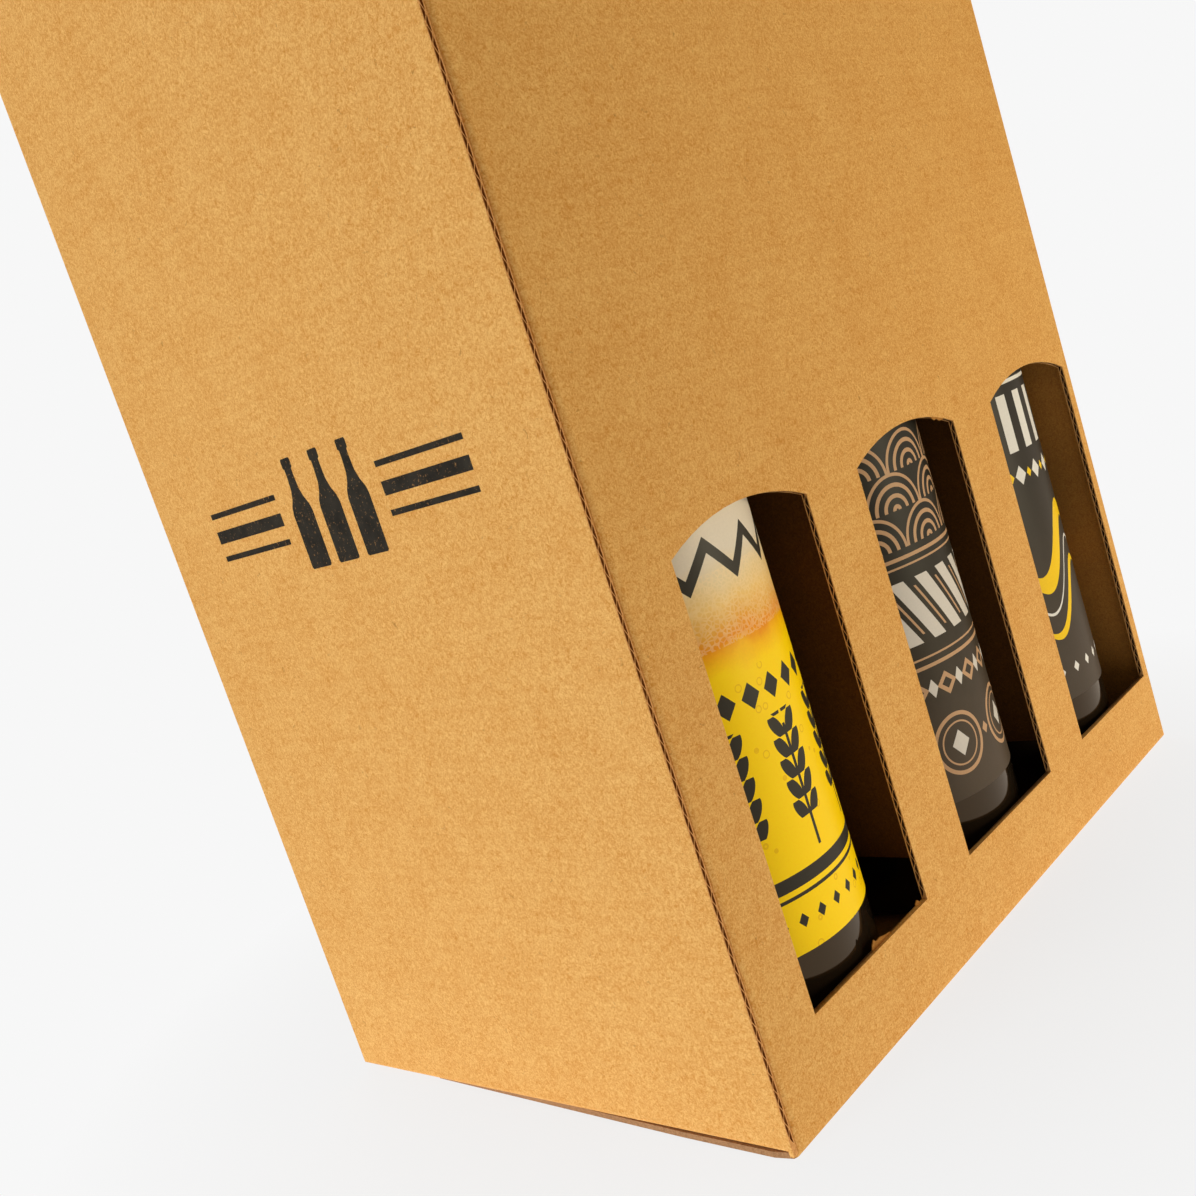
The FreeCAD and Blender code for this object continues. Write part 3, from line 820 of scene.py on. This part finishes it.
def hinge_liner(outer):
    """The outer liner where it crosses the lid's crease, its profile in millimetres from the pivot."""
    bm = bmesh.new()
    pivot = Vector(frame["joints"][0]["pos_m"])
    profile = [(-0.09, -1.0), (-0.04, -0.5), (0.0, 0.0), (-0.04, 0.5), (-0.1, 0.95)]
    verts = [bm.verts.new((LEFT + FOLD, pivot.y + y * MM, pivot.z + z * MM)) for y, z in profile]
    edges = [bm.edges.new(pair) for pair in zip(verts, verts[1:])]
    made = bmesh.ops.extrude_edge_only(bm, edges=edges)
    moved = [v for v in made["geom"] if isinstance(v, bmesh.types.BMVert)]
    bmesh.ops.translate(bm, verts=moved, vec=(RIGHT - LEFT - 2 * FOLD, 0, 0))
    bmesh.ops.recalc_face_normals(bm, faces=bm.faces)
    bmesh.ops.solidify(bm, geom=bm.faces[:], thickness=0.08 * MM)
    bmesh.ops.recalc_face_normals(bm, faces=bm.faces)
    strip = add_object("hinge_liner", bm)
    strip.data.materials.append(outer)
    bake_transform(strip)


# Stage and light

def unseen_light(tree, plain, white, share):
    """Mix so that the camera, gloss and glass see the white backdrop, and all else the plain shader."""
    path = node(tree, "LightPath")
    seen = maths(tree, "ADD", path.outputs["Is Camera Ray"], path.outputs["Is Glossy Ray"], clamp=True)
    seen = maths(tree, "ADD", seen, path.outputs["Is Transmission Ray"], clamp=True)
    share = maths(tree, "MULTIPLY", seen, share)
    return node(tree, "MixShader", None, _0=share, _1=plain, _2=white).outputs[0]


BACKDROP = 0.931
AIM = Vector((0, 0, 0.12))

# The floor's share of backdrop at the box's middle, and how it and the floor's glow change to the metre
WHITE_NEAR, WHITE_GAIN, GLOW_FALL = 0.74, 1.2, -2.2


def backdrop_colour(tree):
    """White to the camera, and warm where glass and ink mirror it."""
    seen = node(tree, "LightPath").outputs["Is Camera Ray"]
    return mixed(tree, seen, (1.0, 0.85, 0.69), (1.0, 1.0, 1.0))


def pale_floor():
    """White floor that keeps the box's shadow close by and fades into the backdrop. Its glow round the box
    stands for the light that a white table throws back."""
    material, tree, shader = blank_material("pale_floor")
    shader.inputs["Base Color"].default_value = (0.8, 0.8, 0.8, 1)
    shader.inputs["Roughness"].default_value = 1.0
    shader.inputs["Specular IOR Level"].default_value = 0.0
    white = node(tree, "Emission", None, Color=backdrop_colour(tree), Strength=BACKDROP)
    out = node(tree, "VectorMath", {"operation": "LENGTH"}, _0=object_place(tree)).outputs["Value"]
    share = maths(tree, "MULTIPLY_ADD", out, WHITE_GAIN, WHITE_NEAR, clamp=True)
    shader.inputs["Emission Color"].default_value = (0.95, 1.03, 1.12, 1)
    glow = maths(tree, "MULTIPLY_ADD", out, GLOW_FALL, 1.0, clamp=True)
    unseen = maths(tree, "SUBTRACT", 1.0, node(tree, "LightPath").outputs["Is Camera Ray"])
    tree.links.new(maths(tree, "MULTIPLY", glow, unseen), shader.inputs["Emission Strength"])
    surface = unseen_light(tree, shader.outputs["BSDF"], white.outputs[0], share)
    tree.links.new(surface, tree.nodes["Material Output"].inputs["Surface"])
    bm = bmesh.new()
    bmesh.ops.create_grid(bm, x_segments=1, y_segments=1, size=6)
    floor = add_object("floor", bm)
    floor.data.materials.append(material)


def backdrop():
    world = bpy.data.worlds.new("studio")
    bpy.context.scene.world = world
    world.use_nodes = True
    tree = world.node_tree
    tree.nodes.clear()
    out = tree.nodes.new("ShaderNodeOutputWorld")
    air = node(tree, "Background", None, Color=(1, 0.97, 0.92, 1), Strength=0.2)
    white = node(tree, "Background", None, Color=backdrop_colour(tree), Strength=BACKDROP)
    tree.links.new(unseen_light(tree, air.outputs[0], white.outputs[0], 1.0), out.inputs["Surface"])


def lamp(name, azimuth, elevation, distance, size, watts, colour=(1, 1, 1)):
    """A square soft light at a bearing, 0 towards +X and 90 towards +Y, that looks at the box."""
    data = bpy.data.lights.new(name, "AREA")
    data.size = size
    data.energy = watts
    data.color = colour
    turn, rise = math.radians(azimuth), math.radians(elevation)
    towards = Vector((math.cos(turn) * math.cos(rise), math.sin(turn) * math.cos(rise), math.sin(rise)))
    made = bpy.data.objects.new(name, data)
    made.location = AIM + towards * distance
    made.rotation_euler = towards.to_track_quat("Z", "Y").to_euler()
    bpy.context.scene.collection.objects.link(made)


def studio():
    pale_floor()
    backdrop()
    lamp("left_light", 170, 5, 1.3, 0.4, 9.5, (0.97, 1, 1.03))
    lamp("front_light", 291, -3, 0.7, 0.2, 2.25, (1, 0.89, 0.64))
    lamp("top_light", 80, 72, 1.4, 0.8, 4.0)
    lamp("back_light", 60, 25, 1.8, 1.2, 6)


camera()

outer_light, outer_dark = picked(229, 180, 106), picked(196, 130, 50)
# The inner liner is darker and browner than the outer: painted shade for the dim inside of the box and lid.
shaded_inner_light, shaded_inner_dark = picked(180, 123, 52), picked(148, 96, 36)
cut_edge = kraft("cut_edge", picked(214, 160, 96), picked(176, 124, 66))
# The flute channels' dark brown is painted shade in the recesses.
flute_walls_painted_shade = kraft("flute_walls_painted_shade", picked(84, 50, 20), picked(60, 34, 12))
# A lighter copy of the cut edge for the seam: painted light against the groove's shade.
seam_edge_painted_light = kraft("seam_edge_painted_light", picked(226, 166, 100), picked(186, 124, 62))
# The seam's flute walls: painted shade, lighter than the other flute walls.
seam_walls_painted_shade = kraft("seam_walls_painted_shade", picked(176, 104, 40), picked(138, 76, 24))
wall_boards = [kraft("kraft_liner", outer_light, outer_dark), kraft("inner_liner_painted_shade", shaded_inner_light, shaded_inner_dark),
               flute_walls_painted_shade, cut_edge, seam_edge_painted_light, seam_walls_painted_shade]
lid_boards = [kraft("lid_liner", outer_light, outer_dark, "Y"),
              kraft("lid_inner_liner_painted_shade", shaded_inner_light, shaded_inner_dark, "Y"), flute_walls_painted_shade, cut_edge]
# The dividers' dark brown is painted shade for the inside of the box.
sheet = kraft("divider_liner_painted_shade", picked(110, 66, 14), picked(80, 46, 8), "X")
sheet_boards = [sheet, sheet, flute_walls_painted_shade, cut_edge]
carton(wall_boards)
# The flap edge's darker grey-brown is painted shade under the panel's foot.
flap_edge(kraft("flap_edge_painted_shade", picked(170, 128, 88), picked(138, 98, 62)))
lid(lid_boards)
divider("long_divider", True, sheet_boards)
divider("cross_divider_1", False, sheet_boards)
divider("cross_divider_2", False, sheet_boards)
hinge_liner(wall_boards[0])
# The shreds use the inner liner, so they carry its painted shade.
torn_liner(wall_boards[1])
side_print(stamp_ink())

radius, height = label_size(1)
print_size = (radius * (LABEL_WRAP / MM), height / MM)
papers = [
    (barley_label(*print_size), "label_yellow"),
    (fan_label(*print_size), "label_scroll"),
    (wave_label(*print_size), "label_stroke"),
]
glass = bottle_glass()
lacquer = cap_lacquer()
for number in range(1, 7):
    towards_window = math.radians(-90 if number <= 3 else 90)
    axis = bottle(number, glass)
    label(number, axis, *papers[(number - 1) % 3], towards_window)
    crown_cap(number, axis, lacquer)

studio()
bpy.context.scene.view_settings.view_transform = "Standard"
